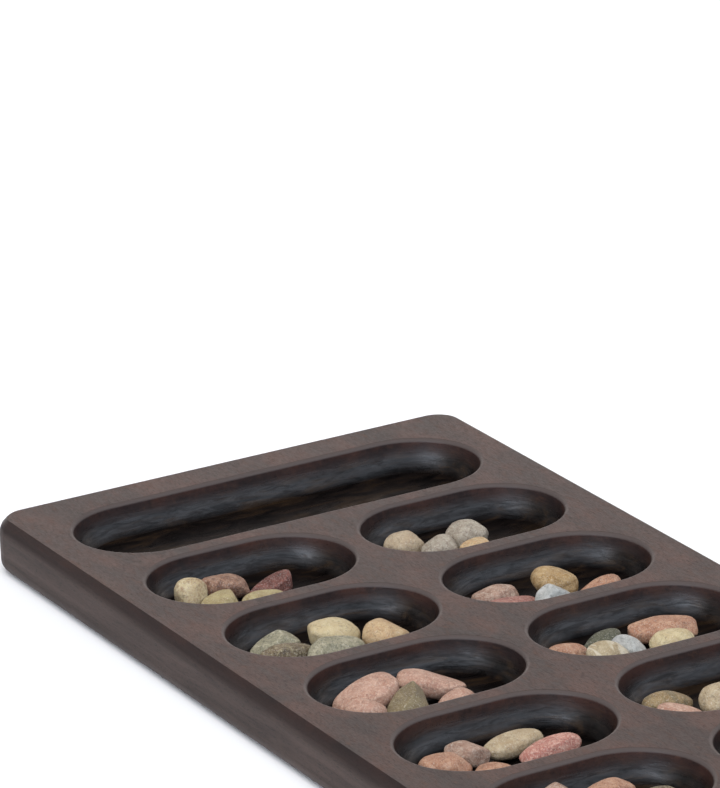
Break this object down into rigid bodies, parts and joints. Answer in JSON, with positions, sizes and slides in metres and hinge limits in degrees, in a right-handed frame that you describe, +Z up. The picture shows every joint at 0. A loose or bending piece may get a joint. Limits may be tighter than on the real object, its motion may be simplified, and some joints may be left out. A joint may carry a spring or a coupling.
{
  "type": "mancala board",
  "caption": "Low rectangular hardwood game board with two rows of oblong pits, a long store across each end, and loose river pebbles in the pits.",
  "frame": {"origin": "middle of the board's flat underside", "axes": "+X along the board from the far store to the near store, +Y across the board from the left row to the right row, +Z up"},
  "size_m": [0.462, 0.178, 0.0199],
  "materials": {
    "dark_wood": "satin oiled dark hardwood",
    "stone_tan": "matt tumbled river stone",
    "stone_pink": "matt tumbled river stone",
    "stone_red": "matt tumbled river stone",
    "stone_ochre": "matt tumbled river stone",
    "stone_grey": "matt tumbled river stone",
    "stone_olive": "matt tumbled river stone"
  },
  "bodies": {
    "board": {"board": "dark_wood"},
    "pebble_left_1a": {"pebble_left_1a": "stone_tan"},
    "pebble_left_1b": {"pebble_left_1b": "stone_red"},
    "pebble_left_1c": {"pebble_left_1c": "stone_ochre"},
    "pebble_left_1d": {"pebble_left_1d": "stone_tan"},
    "pebble_left_1e": {"pebble_left_1e": "stone_red"},
    "pebble_left_2a": {"pebble_left_2a": "stone_olive"},
    "pebble_left_2b": {"pebble_left_2b": "stone_olive"},
    "pebble_left_2c": {"pebble_left_2c": "stone_tan"},
    "pebble_left_2d": {"pebble_left_2d": "stone_olive"},
    "pebble_left_2e": {"pebble_left_2e": "stone_ochre"},
    "pebble_left_3a": {"pebble_left_3a": "stone_pink"},
    "pebble_left_3b": {"pebble_left_3b": "stone_pink"},
    "pebble_left_3c": {"pebble_left_3c": "stone_olive"},
    "pebble_left_3d": {"pebble_left_3d": "stone_pink"},
    "pebble_left_3e": {"pebble_left_3e": "stone_pink"},
    "pebble_left_4a": {"pebble_left_4a": "stone_ochre"},
    "pebble_left_4b": {"pebble_left_4b": "stone_pink"},
    "pebble_left_4c": {"pebble_left_4c": "stone_ochre"},
    "pebble_left_4d": {"pebble_left_4d": "stone_tan"},
    "pebble_left_4e": {"pebble_left_4e": "stone_red"},
    "pebble_left_5a": {"pebble_left_5a": "stone_grey"},
    "pebble_left_5b": {"pebble_left_5b": "stone_ochre"},
    "pebble_left_5c": {"pebble_left_5c": "stone_pink"},
    "pebble_left_5d": {"pebble_left_5d": "stone_tan"},
    "pebble_left_5e": {"pebble_left_5e": "stone_olive"},
    "pebble_left_6a": {"pebble_left_6a": "stone_tan"},
    "pebble_left_6b": {"pebble_left_6b": "stone_grey"},
    "pebble_left_6c": {"pebble_left_6c": "stone_pink"},
    "pebble_left_6d": {"pebble_left_6d": "stone_olive"},
    "pebble_right_1a": {"pebble_right_1a": "stone_tan"},
    "pebble_right_1b": {"pebble_right_1b": "stone_grey"},
    "pebble_right_1c": {"pebble_right_1c": "stone_grey"},
    "pebble_right_1d": {"pebble_right_1d": "stone_ochre"},
    "pebble_right_2a": {"pebble_right_2a": "stone_pink"},
    "pebble_right_2b": {"pebble_right_2b": "stone_red"},
    "pebble_right_2c": {"pebble_right_2c": "stone_ochre"},
    "pebble_right_2d": {"pebble_right_2d": "stone_grey"},
    "pebble_right_2e": {"pebble_right_2e": "stone_ochre"},
    "pebble_right_3a": {"pebble_right_3a": "stone_pink"},
    "pebble_right_3b": {"pebble_right_3b": "stone_tan"},
    "pebble_right_3c": {"pebble_right_3c": "stone_olive"},
    "pebble_right_3d": {"pebble_right_3d": "stone_grey"},
    "pebble_right_3e": {"pebble_right_3e": "stone_pink"},
    "pebble_right_3f": {"pebble_right_3f": "stone_tan"},
    "pebble_right_4a": {"pebble_right_4a": "stone_ochre"},
    "pebble_right_4b": {"pebble_right_4b": "stone_pink"},
    "pebble_right_4c": {"pebble_right_4c": "stone_grey"},
    "pebble_right_4d": {"pebble_right_4d": "stone_red"},
    "pebble_right_4e": {"pebble_right_4e": "stone_tan"},
    "pebble_right_5a": {"pebble_right_5a": "stone_tan"},
    "pebble_right_5b": {"pebble_right_5b": "stone_pink"},
    "pebble_right_5c": {"pebble_right_5c": "stone_grey"},
    "pebble_right_5d": {"pebble_right_5d": "stone_ochre"},
    "pebble_right_6a": {"pebble_right_6a": "stone_ochre"},
    "pebble_right_6b": {"pebble_right_6b": "stone_pink"},
    "pebble_right_6c": {"pebble_right_6c": "stone_tan"},
    "pebble_right_6d": {"pebble_right_6d": "stone_grey"}
  },
  "joints": [
    {"name": "lift_left_1a", "type": "slide", "parent": "board", "child": "pebble_left_1a", "axis": [0, 0, 1], "range_m": [0, 0.08]},
    {"name": "lift_left_1b", "type": "slide", "parent": "board", "child": "pebble_left_1b", "axis": [0, 0, 1], "range_m": [0, 0.08]},
    {"name": "lift_left_1c", "type": "slide", "parent": "board", "child": "pebble_left_1c", "axis": [0, 0, 1], "range_m": [0, 0.08]},
    {"name": "lift_left_1d", "type": "slide", "parent": "board", "child": "pebble_left_1d", "axis": [0, 0, 1], "range_m": [0, 0.08]},
    {"name": "lift_left_1e", "type": "slide", "parent": "board", "child": "pebble_left_1e", "axis": [0, 0, 1], "range_m": [0, 0.08]},
    {"name": "lift_left_2a", "type": "slide", "parent": "board", "child": "pebble_left_2a", "axis": [0, 0, 1], "range_m": [0, 0.08]},
    {"name": "lift_left_2b", "type": "slide", "parent": "board", "child": "pebble_left_2b", "axis": [0, 0, 1], "range_m": [0, 0.08]},
    {"name": "lift_left_2c", "type": "slide", "parent": "board", "child": "pebble_left_2c", "axis": [0, 0, 1], "range_m": [0, 0.08]},
    {"name": "lift_left_2d", "type": "slide", "parent": "board", "child": "pebble_left_2d", "axis": [0, 0, 1], "range_m": [0, 0.08]},
    {"name": "lift_left_2e", "type": "slide", "parent": "board", "child": "pebble_left_2e", "axis": [0, 0, 1], "range_m": [0, 0.08]},
    {"name": "lift_left_3a", "type": "slide", "parent": "board", "child": "pebble_left_3a", "axis": [0, 0, 1], "range_m": [0, 0.08]},
    {"name": "lift_left_3b", "type": "slide", "parent": "board", "child": "pebble_left_3b", "axis": [0, 0, 1], "range_m": [0, 0.08]},
    {"name": "lift_left_3c", "type": "slide", "parent": "board", "child": "pebble_left_3c", "axis": [0, 0, 1], "range_m": [0, 0.08]},
    {"name": "lift_left_3d", "type": "slide", "parent": "board", "child": "pebble_left_3d", "axis": [0, 0, 1], "range_m": [0, 0.08]},
    {"name": "lift_left_3e", "type": "slide", "parent": "board", "child": "pebble_left_3e", "axis": [0, 0, 1], "range_m": [0, 0.08]},
    {"name": "lift_left_4a", "type": "slide", "parent": "board", "child": "pebble_left_4a", "axis": [0, 0, 1], "range_m": [0, 0.08]},
    {"name": "lift_left_4b", "type": "slide", "parent": "board", "child": "pebble_left_4b", "axis": [0, 0, 1], "range_m": [0, 0.08]},
    {"name": "lift_left_4c", "type": "slide", "parent": "board", "child": "pebble_left_4c", "axis": [0, 0, 1], "range_m": [0, 0.08]},
    {"name": "lift_left_4d", "type": "slide", "parent": "board", "child": "pebble_left_4d", "axis": [0, 0, 1], "range_m": [0, 0.08]},
    {"name": "lift_left_4e", "type": "slide", "parent": "board", "child": "pebble_left_4e", "axis": [0, 0, 1], "range_m": [0, 0.08]},
    {"name": "lift_left_5a", "type": "slide", "parent": "board", "child": "pebble_left_5a", "axis": [0, 0, 1], "range_m": [0, 0.08]},
    {"name": "lift_left_5b", "type": "slide", "parent": "board", "child": "pebble_left_5b", "axis": [0, 0, 1], "range_m": [0, 0.08]},
    {"name": "lift_left_5c", "type": "slide", "parent": "board", "child": "pebble_left_5c", "axis": [0, 0, 1], "range_m": [0, 0.08]},
    {"name": "lift_left_5d", "type": "slide", "parent": "board", "child": "pebble_left_5d", "axis": [0, 0, 1], "range_m": [0, 0.08]},
    {"name": "lift_left_5e", "type": "slide", "parent": "board", "child": "pebble_left_5e", "axis": [0, 0, 1], "range_m": [0, 0.08]},
    {"name": "lift_left_6a", "type": "slide", "parent": "board", "child": "pebble_left_6a", "axis": [0, 0, 1], "range_m": [0, 0.08]},
    {"name": "lift_left_6b", "type": "slide", "parent": "board", "child": "pebble_left_6b", "axis": [0, 0, 1], "range_m": [0, 0.08]},
    {"name": "lift_left_6c", "type": "slide", "parent": "board", "child": "pebble_left_6c", "axis": [0, 0, 1], "range_m": [0, 0.08]},
    {"name": "lift_left_6d", "type": "slide", "parent": "board", "child": "pebble_left_6d", "axis": [0, 0, 1], "range_m": [0, 0.08]},
    {"name": "lift_right_1a", "type": "slide", "parent": "board", "child": "pebble_right_1a", "axis": [0, 0, 1], "range_m": [0, 0.08]},
    {"name": "lift_right_1b", "type": "slide", "parent": "board", "child": "pebble_right_1b", "axis": [0, 0, 1], "range_m": [0, 0.08]},
    {"name": "lift_right_1c", "type": "slide", "parent": "board", "child": "pebble_right_1c", "axis": [0, 0, 1], "range_m": [0, 0.08]},
    {"name": "lift_right_1d", "type": "slide", "parent": "board", "child": "pebble_right_1d", "axis": [0, 0, 1], "range_m": [0, 0.08]},
    {"name": "lift_right_2a", "type": "slide", "parent": "board", "child": "pebble_right_2a", "axis": [0, 0, 1], "range_m": [0, 0.08]},
    {"name": "lift_right_2b", "type": "slide", "parent": "board", "child": "pebble_right_2b", "axis": [0, 0, 1], "range_m": [0, 0.08]},
    {"name": "lift_right_2c", "type": "slide", "parent": "board", "child": "pebble_right_2c", "axis": [0, 0, 1], "range_m": [0, 0.08]},
    {"name": "lift_right_2d", "type": "slide", "parent": "board", "child": "pebble_right_2d", "axis": [0, 0, 1], "range_m": [0, 0.08]},
    {"name": "lift_right_2e", "type": "slide", "parent": "board", "child": "pebble_right_2e", "axis": [0, 0, 1], "range_m": [0, 0.08]},
    {"name": "lift_right_3a", "type": "slide", "parent": "board", "child": "pebble_right_3a", "axis": [0, 0, 1], "range_m": [0, 0.08]},
    {"name": "lift_right_3b", "type": "slide", "parent": "board", "child": "pebble_right_3b", "axis": [0, 0, 1], "range_m": [0, 0.08]},
    {"name": "lift_right_3c", "type": "slide", "parent": "board", "child": "pebble_right_3c", "axis": [0, 0, 1], "range_m": [0, 0.08]},
    {"name": "lift_right_3d", "type": "slide", "parent": "board", "child": "pebble_right_3d", "axis": [0, 0, 1], "range_m": [0, 0.08]},
    {"name": "lift_right_3e", "type": "slide", "parent": "board", "child": "pebble_right_3e", "axis": [0, 0, 1], "range_m": [0, 0.08]},
    {"name": "lift_right_3f", "type": "slide", "parent": "board", "child": "pebble_right_3f", "axis": [0, 0, 1], "range_m": [0, 0.08]},
    {"name": "lift_right_4a", "type": "slide", "parent": "board", "child": "pebble_right_4a", "axis": [0, 0, 1], "range_m": [0, 0.08]},
    {"name": "lift_right_4b", "type": "slide", "parent": "board", "child": "pebble_right_4b", "axis": [0, 0, 1], "range_m": [0, 0.08]},
    {"name": "lift_right_4c", "type": "slide", "parent": "board", "child": "pebble_right_4c", "axis": [0, 0, 1], "range_m": [0, 0.08]},
    {"name": "lift_right_4d", "type": "slide", "parent": "board", "child": "pebble_right_4d", "axis": [0, 0, 1], "range_m": [0, 0.08]},
    {"name": "lift_right_4e", "type": "slide", "parent": "board", "child": "pebble_right_4e", "axis": [0, 0, 1], "range_m": [0, 0.08]},
    {"name": "lift_right_5a", "type": "slide", "parent": "board", "child": "pebble_right_5a", "axis": [0, 0, 1], "range_m": [0, 0.08]},
    {"name": "lift_right_5b", "type": "slide", "parent": "board", "child": "pebble_right_5b", "axis": [0, 0, 1], "range_m": [0, 0.08]},
    {"name": "lift_right_5c", "type": "slide", "parent": "board", "child": "pebble_right_5c", "axis": [0, 0, 1], "range_m": [0, 0.08]},
    {"name": "lift_right_5d", "type": "slide", "parent": "board", "child": "pebble_right_5d", "axis": [0, 0, 1], "range_m": [0, 0.08]},
    {"name": "lift_right_6a", "type": "slide", "parent": "board", "child": "pebble_right_6a", "axis": [0, 0, 1], "range_m": [0, 0.08]},
    {"name": "lift_right_6b", "type": "slide", "parent": "board", "child": "pebble_right_6b", "axis": [0, 0, 1], "range_m": [0, 0.08]},
    {"name": "lift_right_6c", "type": "slide", "parent": "board", "child": "pebble_right_6c", "axis": [0, 0, 1], "range_m": [0, 0.08]},
    {"name": "lift_right_6d", "type": "slide", "parent": "board", "child": "pebble_right_6d", "axis": [0, 0, 1], "range_m": [0, 0.08]}
  ]
}
